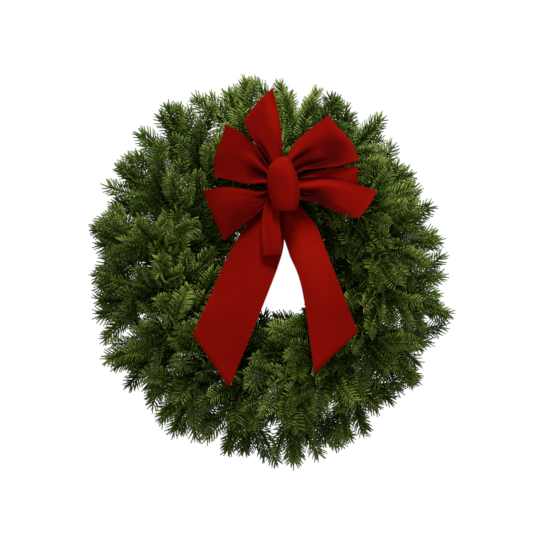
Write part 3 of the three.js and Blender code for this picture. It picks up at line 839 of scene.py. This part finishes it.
# The piece for a node of the bow, and the length of its ribbon along its middle
def ribbon(node_name, surface, painted_light, steps, closed, material):
    along = np.arange(steps) / steps if closed else np.linspace(0, 1, steps + 1)
    along, across = np.meshgrid(along, across_places(), indexing="ij")
    middle = surface(along, across)
    edge = hump((0.5 - np.abs(across)) * RIBBON_WIDTH, 0, SELVEDGE_WIDTH)
    half = ribbon_normals(surface, along, across, closed)
    half = half * (RIBBON_HALF_THICK + SELVEDGE * edge)[..., None]
    points = np.concatenate([(middle + half).reshape(-1, 3), (middle - half).reshape(-1, 3)])
    faces = ribbon_faces(*middle.shape[:2], closed)
    piece = new_piece(node_name + "_ribbon", node_name, "velvet", points, faces, [material])
    # tones of painted shade and painted highlight, the same on both sides of the ribbon
    tones = painted_light(along, across).ravel()
    set_attribute(piece, "painted_light", "FLOAT", "value", np.concatenate([tones, tones]))
    line = middle[:, middle.shape[1] // 2]
    return piece, path_length(line)


# Loops: the two edges of each from the knot to the corners of its fold [x, z], how far
# forward the corners lie, how much the front and back layers puff out, how far the fold
# stands out beyond its corners and where, the pleats that fan out of the knot [how many,
# where the first stands, how far out, share of the way that they reach], how far out the
# hidden back layer's pleats stand, the folds of the front layer [place across, half width,
# height, middle and half length along the way], and its spots of painted shade and painted
# highlight [the same, with a tone in place of the height]. A doubled loop is folded lengthwise.
LOOPS = {
    "upper_left": {
        "edges": (((-3, 149), (-18, 174), (-38, 192), (-61, 205.5)),
                  ((-5, 122), (-30, 120.5), (-54, 126), (-78, 131))),
        "depths": (102, 94), "bulge": (13, 6), "crown": (6, 0.2), "pleats": (2, 0.2, 2, 0.5),
        "back_pleats": 6,
        "folds": ((-0.17, 0.06, 4.5, 0.46, 0.2), (-0.33, 0.07, -3.5, 0.36, 0.16), (0.12, 0.15, -8, 0.38, 0.2),
                  (0.45, 0.06, 3, 0.32, 0.2)),
        "painted_light": ((-0.12, 0.07, 0.42, 0.4, 0.26), (0.16, 0.2, -0.4, 0.32, 0.2), (0.3, 0.3, -0.08, 0.75, 0.3),
                (-0.32, 0.12, -0.28, 0.3, 0.16), (0.46, 0.06, 0.25, 0.3, 0.15), (0, 1, -0.02, 0.6, 1)),
    },
    "lower_left": {
        "edges": (((-8, 111), (-36, 113.5), (-64, 116), (-93.5, 111.5)),
                  ((-2, 93), (-20, 75), (-41, 58.5), (-64, 40))),
        "depths": (90, 98), "bulge": (13, 6), "crown": (1, 0), "pleats": (2.5, 0.6, 2.5, 0.5),
        "back_pleats": 4.2,
        "folds": ((-0.38, 0.1, 2.5, 0.6, 0.3), (-0.12, 0.1, -7, 0.26, 0.1), (0.12, 0.05, -4, 0.36, 0.1),
                  (0.3, 0.08, 3, 0.4, 0.2)),
        "painted_light": ((-0.3, 0.2, 0.12, 0.65, 0.3), (0.05, 0.3, -0.4, 0.14, 0.14), (0.35, 0.25, -0.1, 0.6, 0.4),
                (0, 1, -0.12, 0.6, 1)),
    },
    "upper_right": {
        "edges": (((26, 160), (41, 182), (62, 201.5), (86, 219.5)),
                  ((46, 138.5), (72, 143), (100, 146), (129, 154.5))),
        "depths": (84, 94), "bulge": (13, 6), "crown": (6, 0.2), "pleats": (2.7, 0.69, 2, 0.5),
        "back_pleats": 4.2,
        "folds": ((-0.07, 0.07, -8, 0.44, 0.18), (0.3, 0.06, -7, 0.44, 0.18), (0.11, 0.06, 2.5, 0.45, 0.2),
                  (-0.2, 0.2, 6, 0.78, 0.16)),
        "painted_light": ((-0.42, 0.16, 0.16, 0.4, 0.4), (0, 0.15, -0.34, 0.42, 0.18), (0.32, 0.14, -0.4, 0.45, 0.28),
                (0.12, 0.3, -0.22, 0.8, 0.15), (0.25, 0.35, -0.3, 0.1, 0.15), (0, 1, 0.12, 1, 0.06)),
    },
    "lower_right": {
        "edges": (((52, 124.7), (86, 126.8), (120, 120.2), (154.5, 110)),
                  ((45, 98), (70, 93.5), (98, 79.5), (127.5, 71))),
        "depths": (102, 124), "bulge": (10, 4), "crown": (1.5, 0), "pleats": (2, 0.1, 2, 0.5),
        "back_pleats": 4.4,
        "folds": ((-0.25, 0.14, 5, 0.42, 0.25), (0.2, 0.18, -10, 0.3, 0.18), (0.42, 0.1, -3, 0.4, 0.2)),
        "painted_light": ((-0.3, 0.15, 0.16, 0.4, 0.4), (0.24, 0.28, -0.5, 0.34, 0.28), (0.45, 0.15, -0.25, 0.6, 0.3),
                (0, 1, 0.1, 1, 0.06)),
    },
    "side": {
        "edges": (((46, 134), (74, 140), (100, 143.5), (126.5, 147)),
                  ((46, 104), (74, 93), (101, 82), (128, 72))),
        "depths": (91, 82), "bulge": (6, 3), "crown": (0, 0), "pleats": (3, 0, 3, 0.6),
        "back_pleats": 3.6,
        "folds": ((0, 0.1, -8, 0.52, 0.16),),
        "painted_light": ((-0.4, 0.2, 0.25, 0.75, 0.35), (-0.24, 0.12, -0.45, 0.55, 0.2),
                (-0.3, 0.2, -0.35, 0.15, 0.14)),
    },
    "top": {
        "edges": (((20, 155), (18.8, 190), (14.2, 222), (5.6, 259.5)),
                  ((2, 150), (-15, 174), (-28.5, 193), (-34.5, 210))),
        "depths": (78, 116), "bulge": (10, 6), "crown": (2.5, 0), "pleats": (2, 0.3, 2, 0.5),
        "back_pleats": 5.9,
        "folds": ((0.38, 0.08, -6, 0.42, 0.2), (0.12, 0.09, 4, 0.32, 0.12), (-0.35, 0.12, -3, 0.34, 0.14)),
        "painted_light": ((-0.3, 0.15, 0.2, 0.75, 0.25), (-0.4, 0.1, -0.35, 0.2, 0.15), (0.1, 0.15, 0.22, 0.2, 0.12),
                (0.42, 0.12, -0.45, 0.35, 0.22)),
    },
    "bottom": {
        "edges": (((17, 93), (15, 68), (17.5, 45), (18.5, 20)),
                  ((-3, 95), (-8.5, 72), (-9, 45), (-7, 18))),
        "depths": (110, 98), "bulge": (8, 5), "crown": (0, 0), "pleats": (2, 0, 3, 2),
        "back_pleats": 4,
        "folds": (), "doubled": True,
        "painted_light": ((0, 1, 0.08, 0.6, 0.6),),
    },
}
LOOP_STEPS = 64
RING_CROWDING = 0.05  # how much closer a loop's rings stand at its neck and its fold
CROWN_HALF_WIDTH = 0.35
CROWN_WAY = (0.5, 1)
PLEATS_GROW = (0, 0.14)  # shares of the way between which the pleats grow
PLEATS_FADE = 0.4  # share of their reach from which they fade
BACK_PLEATS = {"count": 4, "grow": (0.05, 0.3), "fade": (0.7, 1)}
DOUBLING = {"grow": (0.08, 0.4), "softness": 0.02, "least": 0.141, "run": 0.869, "apart": 0.02}
DOUBLED_GAP = (2.2, 4)  # between the two halves, and how quickly it opens
# the even level of the painted light, and how sharply its spots of painted shade and highlight end
PAINTED_LIGHT_LEVEL = 0.5
PAINTED_SPOT_SHARPNESS = 1.5
DOWN = seen(0, -NECK_WIDTH, 0)
LEFT = seen(-NECK_WIDTH, 0, 0)
VIEWED = seen(0, 0, 1)


def loop_edge(points, end_depth, start, way):
    start_depth = -start[1]
    places = [start]
    for n, (x, z) in enumerate(points):
        places.append(seen(x, z, lerp(start_depth, end_depth, (n + 1) / len(points))))
    return through(places, way)


def pleating(way, across, count, first, height, grow, fade):
    ripple = 1 + np.cos(2 * math.pi * (count * across + first))
    return height * smooth(way, *grow) * (1 - smooth(way, *fade)) * ripple


# How far off the middle of an oval spot a place lies, squared, with 1 at the spot's edge
def off_spot(way, across, place, half_width, middle, half_length):
    return ((across - place) / half_width) ** 2 + ((way - middle) / half_length) ** 2


# The places across a ribbon folded lengthwise, and how far forward its halves lie for it
def doubled(way, across):
    two_sides = 2 * across
    share = smooth(way, *DOUBLING["grow"])
    folded = (np.sqrt(two_sides**2 + DOUBLING["softness"]) - DOUBLING["least"]) / DOUBLING["run"]
    folded = folded - 0.5 + DOUBLING["apart"] * two_sides
    gap, quickness = DOUBLED_GAP
    return lerp(across, folded, share), gap * np.tanh(quickness * two_sides) * share


# How far the layers of a loop stand out towards the front
def loop_layers(loop, way, across, turn):
    front = np.cos(turn) > 0
    puff = np.where(front, *loop["bulge"]) * np.maximum(0, way) ** PUFFING
    count, first, height, far = loop["pleats"]
    rise = pleating(way, across, count, first, height, PLEATS_GROW, (far * PLEATS_FADE, far))
    for place, half_width, height, middle, half_length in loop["folds"]:
        off = off_spot(way, across, place, half_width, middle, half_length)
        rise = rise + np.where(front, height, 0) * np.exp(-off)
    behind = pleating(way, across, BACK_PLEATS["count"], 0, loop["back_pleats"], BACK_PLEATS["grow"],
                      BACK_PLEATS["fade"])
    lie = np.cos(turn)
    return lie * (HALF_GAP + puff) + np.where(front, rise * lie**2, -(behind * lie**2))


def loop_points(loop, depth, neck, turn, across):
    way = np.sin(turn)
    pinch = seen(BOW_X, BOW_Z, depth)
    one, other = (loop_edge(points, end_depth, pinch + half * neck, way)
                  for points, end_depth, half in zip(loop["edges"], loop["depths"], (-0.5, 0.5)))
    way, across, turn = way[..., None], across[..., None], turn[..., None]
    corners = np.sum([seen(*edge[-1], 0) for edge in loop["edges"]], axis=0) / 2
    height, middle = loop["crown"]
    crown = height * (1 - (2 * across) ** 2) * hump(across, middle, CROWN_HALF_WIDTH)
    crown = crown * smooth(way, *CROWN_WAY) ** 2
    gap = 0
    if loop.get("doubled"):
        across, gap = doubled(way, across)
    layer = loop_layers(loop, way, across, turn) + gap
    out = unit(corners - seen(BOW_X, BOW_Z, 0))
    return lerp(one, other, across + 0.5) + out * crown + VIEWED * layer


def loop_turn(along):
    return math.pi * (along - RING_CROWDING * np.sin(4 * math.pi * along))


# Painted light on the velvet, from 0 for painted shade to 1 for painted highlight, at a share
# of the way and a place across: soft oval spots added to an even level
def painted_tone(spots, way, across):
    tone = np.full(np.broadcast(way, across).shape, PAINTED_LIGHT_LEVEL)
    for place, half_width, change, middle, half_length in spots:
        off = off_spot(way, across, place, half_width, middle, half_length)
        tone = tone + change * np.exp(-(off**PAINTED_SPOT_SHARPNESS))
    return tone


# Painted shade and highlight on a loop's front layer; its hidden back layer keeps the even level
def loop_painted_light(loop, turn, across):
    return np.where(np.cos(turn) > 0, painted_tone(loop["painted_light"], np.sin(turn), across), PAINTED_LIGHT_LEVEL)


# The surface, and the painted shade and highlight, of ribbon that makes one loop or a pair of loops
def looped(names, depth, neck):
    def on_each(along, value_of):
        place = len(names) * along
        turns = [loop_turn(np.minimum(way, 1)) for way in (place, 2 - place)]
        return place <= 1, [value_of(LOOPS[name], turn) for name, turn in zip(names, turns)]

    def surface(along, across):
        on_first, made = on_each(along, lambda loop, turn: loop_points(loop, depth, neck, turn, across))
        return np.where(on_first[..., None], made[0], made[-1])

    def painted_light(along, across):
        on_first, made = on_each(along, lambda loop, turn: loop_painted_light(loop, turn, across))
        return np.where(on_first, made[0], made[-1])

    return surface, painted_light


# Tails: the edges of each from its gathered neck to its slanting cut [x, z, depth], and their
# spots of painted shade and painted highlight, as for the loops
LEFT_TAIL = (
    ((13, 122, 81.6), (8, 106, 81.6), (-14, 86, 82.5), (-33, 60, 87), (-56, 22, 94), (-83, -38, 100),
     (-108, -94, 104)),
    ((23, 122, 81.6), (23, 106, 81.6), (23, 86, 82.5), (22, 60, 85), (19.5, 22, 89), (-7, -50, 97),
     (-56, -169, 106)),
)
RIGHT_TAIL = (
    ((13, 122, 79.4), (13, 106, 79.4), (15, 88, 79), (17.5, 60, 77), (30, 22, 75), (48, -28, 81),
     (65.5, -149, 102)),
    ((23, 122, 79.4), (27, 106, 79.4), (46, 88, 84), (67.5, 61, 92), (82, 24, 100), (106, -36, 105.5),
     (127, -91, 108)),
)
# Painted shade below the knot and in the right tail's crease, painted highlights on the lit parts of both
# tails
LEFT_PAINTED_LIGHT = ((0, 1, -0.2, 0.25, 0.2), (0.25, 0.3, 0.32, 0.6, 0.06), (0, 1, 0.05, 0.8, 0.4))
RIGHT_PAINTED_LIGHT = ((0.15, 0.3, -0.25, 0.15, 0.17), (0.05, 0.06, -0.3, 0.34, 0.06), (-0.4, 0.35, 0.35, 0.36, 0.16),
             (0, 0.8, 0.28, 0.67, 0.17), (0, 1, 0.05, 0.8, 0.5))
TAIL_FOLD = 0.06  # share of the tails' ribbon that turns over at its gathered middle
TAIL_STEPS = 150
TAIL_PLEATS = {"count": 2.5, "height": 1.6, "fade": (0.1, 0.42)}
TAIL_SLOPE_STEP = 0.01
RIPPLES = {"height": 1.5, "grow": (0.4, 0.7)}  # towards the tails' ends
LEFT_RIPPLE = (1.3, 0, 0.4)  # ripples along the tail, where the first stands, and their slant
RIGHT_RIPPLE = (1.1, 0.3, -0.3)
LEFT_SWELL = {"height": 3.5, "way": (0.5, 0.1), "across": (0.05, 0.3)}  # middle and half width
RIGHT_CREASE = {"height": -4, "across": (-0.1, 0.12), "grow": (0.1, 0.2), "fade": (0.28, 0.45)}


def tail_points(tail, way, across, waves):
    one, other = (through_places(edge, way) for edge in tail)
    width = other - one
    run = through_places(tail[0], np.minimum(way + TAIL_SLOPE_STEP, 1))
    run = run - through_places(tail[0], np.maximum(way - TAIL_SLOPE_STEP, 0))
    forward = unit(np.cross(width, run))
    forward = np.where(forward[..., 1:2] > 0, -forward, forward)
    fading = TAIL_PLEATS["height"] * (1 - smooth(way, *TAIL_PLEATS["fade"]))
    rise = fading * np.cos(2 * math.pi * TAIL_PLEATS["count"] * across) + sum(waves(way, across))
    return one + width * (across + 0.5)[..., None] + forward * rise[..., None]


def ripples(way, across, count, first, slant):
    wave = np.sin(2 * math.pi * (way * count + first + across * slant))
    return RIPPLES["height"] * wave * smooth(way, *RIPPLES["grow"])


def left_waves(way, across):
    yield LEFT_SWELL["height"] * hump(way, *LEFT_SWELL["way"]) * hump(across, *LEFT_SWELL["across"])
    yield ripples(way, across, *LEFT_RIPPLE)


def right_waves(way, across):
    crease = RIGHT_CREASE["height"] * hump(across, *RIGHT_CREASE["across"])
    yield crease * (1 - smooth(way, *RIGHT_CREASE["fade"])) * smooth(way, *RIGHT_CREASE["grow"])
    yield ripples(way, across, *RIGHT_RIPPLE)


# The way down the left and the right tail at a share of their ribbon
def tail_ways(along):
    half = (1 - TAIL_FOLD) / 2
    return np.clip((half - along) / half, 0, 1), np.clip((along - half - TAIL_FOLD) / half, 0, 1)


def tails_surface(along, across):
    left_way, right_way = tail_ways(along)
    left = tail_points(LEFT_TAIL, left_way, across, left_waves)
    right = tail_points(RIGHT_TAIL, right_way, across, right_waves)
    half = (1 - TAIL_FOLD) / 2
    turn = math.pi * np.clip((along - half) / TAIL_FOLD, 0, 1)[..., None]
    gap = (LEFT_TAIL[0][0][2] - RIGHT_TAIL[0][0][2]) / 2
    folded = lerp(left, right, (1 - np.cos(turn)) / 2) + np.sin(turn) * seen(0, gap, 0)
    on_left, on_right = (along < half)[..., None], (along > half + TAIL_FOLD)[..., None]
    return np.where(on_left, left, np.where(on_right, right, folded))


def tails_painted_light(along, across):
    left_way, right_way = tail_ways(along)
    left, right = painted_tone(LEFT_PAINTED_LIGHT, left_way, across), painted_tone(RIGHT_PAINTED_LIGHT, right_way, across)
    return np.where(along < 0.5, left, right)


# The centre loop: gathered behind, full width in front, narrower at its top than below
CENTRE = {"x": 20.5, "half_width": 22.3, "front": 20, "back": 9.8, "depth": 109, "widest": -3}
CENTRE_TAPER = {"above": 41.8, "below": 45.2}
CENTRE_STEPS = 96
CENTRE_GATHER = 0.4  # share of the way forward by which it has its full width
CENTRE_ROUNDNESS = 0.7
CENTRE_LEAN = 0.12
CENTRE_TOP = (20, 40)  # heights between which its leaning ends
CENTRE_FACET = {"height": 1.2, "turn": (0.7, 0.25)}  # middle and half width
# Spots of painted highlight on the centre loop: its upper part, its right side and, faintly, its lower part
CENTRE_PAINTED_LIGHT = ((0, 3, 0.16, 0.45, 0.25), (0.6, 0.3, 0.1, 0.1, 0.3), (0, 3, 0.06, -0.3, 0.2))


def centre_surface(along, across):
    turn = 2 * math.pi * along
    frontness = (1 + np.cos(turn)) / 2
    width = lerp(NECK_WIDTH, RIBBON_WIDTH, smooth(frontness, 0, CENTRE_GATHER))
    height = across * width
    off = height - CENTRE["widest"]
    taper = np.where(off > 0, CENTRE_TAPER["above"], CENTRE_TAPER["below"])
    narrowing = np.sqrt(1 - (np.abs(off) / taper) ** 2)
    forward = np.where(np.cos(turn) > 0, CENTRE["front"] * narrowing**CENTRE_ROUNDNESS, CENTRE["back"])
    facing = turn - 2 * math.pi * (turn > math.pi)
    facet = CENTRE_FACET["height"] * hump(facing, *CENTRE_FACET["turn"]) * frontness
    leaning = -CENTRE_LEAN * height * (1 - smooth(height, *CENTRE_TOP))
    return np.stack([
        CENTRE["x"] + CENTRE["half_width"] * narrowing * np.sin(turn) + leaning,
        -(CENTRE["depth"] + forward * np.cos(turn) + facet),
        BOW_Z + height,
    ], -1)


def centre_painted_light(along, across):
    turn = 2 * math.pi * (along - np.round(along))
    return painted_tone(CENTRE_PAINTED_LIGHT, across, turn)


# Each piece of ribbon: its node, surface and painted shade and highlight, steps and whether it
# closes on itself
def bow_ribbons():
    yield "bow_tails", (tails_surface, tails_painted_light), TAIL_STEPS, False
    yield "bow_side_loop", looped(["side"], LAYER["side"], DOWN), LOOP_STEPS, False
    for name, pair, neck in (
        ("upright", ("top", "bottom"), LEFT),
        ("rear", ("upper_right", "lower_left"), DOWN),
        ("front", ("lower_right", "upper_left"), DOWN),
    ):
        yield f"bow_{name}_loops", looped(pair, LAYER[name], neck), 2 * LOOP_STEPS, True
    yield "bow_centre_loop", (centre_surface, centre_painted_light), CENTRE_STEPS, True


def build_bow():
    velvet = velvet_material()
    pieces = []
    for name, (surface, painted_light), steps, closed in bow_ribbons():
        piece, length = ribbon(name, surface, painted_light, steps, closed, velvet)
        pieces.append(piece)
    return pieces


# Wires
RING_STEPS = 160
# The turn of binding wire at each station: degrees of the clock, and its oval round the ring
WRAP = {"from": -8, "to": -0.5, "half_width": 7.5, "half_depth": 4.9, "middle": 2.2}
WRAP_PARTS = 8  # of nine, the ninth being the run to the next station
BINDING_RUN = 15.87  # stations that the binding wire passes
BINDING_STEPS = 900
TIE_STEPS = 150
# The wire round the bow's necks, hooked behind the ring at both ends [x, z, depth]
TIE_ROUTE = (
    (-21.8, 150.4, -4.1), (-21.2, 146.5, -4.1), (-20.6, 142.9, -1.5), (-20.6, 142.7, 4),
    (-17, 138, 30), (3, 115, 70), (9.7, 108.7, 79), (9.7, 108.7, 97), (12, 113, 100.4),
    (16.2, 121, 100.6), (20.4, 129, 100.4), (22.6, 133.2, 97), (22.6, 133.2, 79), (25, 135, 70),
    (33, 138.5, 30), (35.5, 139.7, 4), (35.5, 140, -1.5), (36.4, 143.4, -4.1), (37.4, 147.3, -4.1),
)


def binding_path():
    points = []
    for way in np.linspace(0, BINDING_RUN, BINDING_STEPS):
        station = math.floor(way)
        step = (way - station) * (WRAP_PARTS + 1)
        wrapped = min(1, step / WRAP_PARTS)
        run = max(0, step - WRAP_PARTS) * (360 / STATIONS + WRAP["from"] - WRAP["to"])
        clock = station_clock(station) + math.radians(lerp(WRAP["from"], WRAP["to"], wrapped) + run)
        turn = wrapped * 2 * math.pi - math.pi / 2
        radius = RING_RADIUS + WRAP["half_width"] * math.cos(turn)
        points.append(at(radius, clock, WRAP["middle"] + WRAP["half_depth"] * math.sin(turn)))
    return np.array(points)


def build_wires():
    ring_enamel = enamel_material("ring_enamel", RING_TONES, roughness=0.4)
    wire_enamel = enamel_material("wire_enamel", WIRE_TONES, roughness=0.35)
    clocks = np.linspace(0, 2 * math.pi, RING_STEPS, endpoint=False)
    circle = np.array([at(RING_RADIUS, clock, 0) for clock in clocks])
    ring = bar(circle, RING_WIRE, sides=14, closed=True)
    tie = bar(through_places(TIE_ROUTE, np.linspace(0, 1, TIE_STEPS)), TIE_WIRE, sides=8)
    binding = bar(binding_path(), BINDING_WIRE, sides=6)
    new_piece("wire_ring_round", "wire_ring", "ring_wire", *ring, [ring_enamel])
    new_piece("binding_wire_round", "binding_wire", "florist_wire", *binding, [wire_enamel])
    new_piece("bow_tie_wire_round", "bow_tie_wire", "florist_wire", *tie, [wire_enamel])


# Camera, floor and light
CAMERA_DISTANCE = 2600
FRAME_WIDTH = 789  # millimetres across the picture at the ring
VIEW_SHIFT = 3  # how far the camera stands left of and above the wreath's middle
SENSOR = 36
CLIP_END = 50  # metres, as the floor's and the lights' sizes and places
FLOOR_HALF = 2.2
FLOOR_DROP = 1.1
FLOOR_COLOUR = (0.8, 0.8, 0.79, 1)
# Place, size, power and colour
LIGHTS = {
    "key": ((0.25, -1.75, 2.4), 0.9, 125, (1, 0.99, 0.96)),
    "fill": ((-1.4, -2.4, 0.4), 1.6, 12, (1, 1, 1)),
}
AMBIENT = 0.24
BACKDROP = 1.0
WHITE = (1, 1, 1, 1)
NEAR_BOW = 4  # millimetres round the bow in which needles may be left out


def build_camera():
    camera = bpy.data.cameras.new("camera")
    camera.sensor_width = SENSOR
    camera.lens = SENSOR * CAMERA_DISTANCE / FRAME_WIDTH
    camera.clip_end = CLIP_END
    holder = new_object("camera", camera)
    holder.location = (-VIEW_SHIFT * MM, -CAMERA_DISTANCE * MM, (VIEW_SHIFT - HOOK_DROP) * MM)
    holder.rotation_euler = (math.pi / 2, 0, 0)
    bpy.context.scene.camera = holder


def build_floor():
    signs = ((-1, -1), (1, -1), (1, 1), (-1, 1))
    corners = [(x * FLOOR_HALF, y * FLOOR_HALF, -FLOOR_DROP) for x, y in signs]
    mesh = bpy.data.meshes.new("floor")
    mesh.from_pydata(corners, [], [(0, 1, 2, 3)])
    made, _, shader = new_material("floor_paint", roughness=0.8, specular=0.2)
    set_inputs(shader, {"Base Color": FLOOR_COLOUR})
    mesh.materials.append(made)
    floor = new_object("floor", mesh)


def build_lights():
    for name, (place, size, power, colour) in LIGHTS.items():
        light = bpy.data.lights.new(name, "AREA")
        light.shape = "SQUARE"
        light.size = size
        light.energy = power
        light.color = colour
        holder = new_object(name, light)
        holder.location = place
        aim = Vector((0, 0, -HOOK_DROP * MM)) - Vector(place)
        holder.rotation_euler = aim.to_track_quat("-Z", "Y").to_euler()


# The surroundings light the wreath softly and look white
def build_world():
    world = bpy.data.worlds.new("studio")
    world.use_nodes = True
    tree = world.node_tree
    ambient = tree.nodes["Background"]
    backdrop = node(tree, "ShaderNodeBackground")
    set_inputs(ambient, {"Color": WHITE, "Strength": AMBIENT})
    set_inputs(backdrop, {"Color": WHITE, "Strength": BACKDROP})
    which = node(tree, "ShaderNodeLightPath")
    choice = node(tree, "ShaderNodeMixShader")
    tree.links.new(which.outputs["Is Camera Ray"], choice.inputs["Fac"])
    tree.links.new(ambient.outputs[0], choice.inputs[1])
    tree.links.new(backdrop.outputs[0], choice.inputs[2])
    tree.links.new(choice.outputs[0], tree.nodes["World Output"].inputs["Surface"])
    bpy.context.scene.world = world
    bpy.context.scene.view_settings.view_transform = "Standard"


# The bow as a tree to measure distances to, and the box round it
def ribbon_tree(pieces):
    points, faces, start = [], [], 0
    for piece in pieces:
        mesh = piece.data
        points += [tuple(v.co / MM + Vector((0, 0, HOOK_DROP))) for v in mesh.vertices]
        faces += [tuple(start + k for k in p.vertices) for p in mesh.polygons]
        start = len(points)
    corners = np.array(points)
    return BVHTree.FromPolygons(points, faces), (corners.min(0) - NEAR_BOW, corners.max(0) + NEAR_BOW)


build_camera()
build_floor()
build_lights()
build_world()
build_wires()
build_foliage(*ribbon_tree(build_bow()))
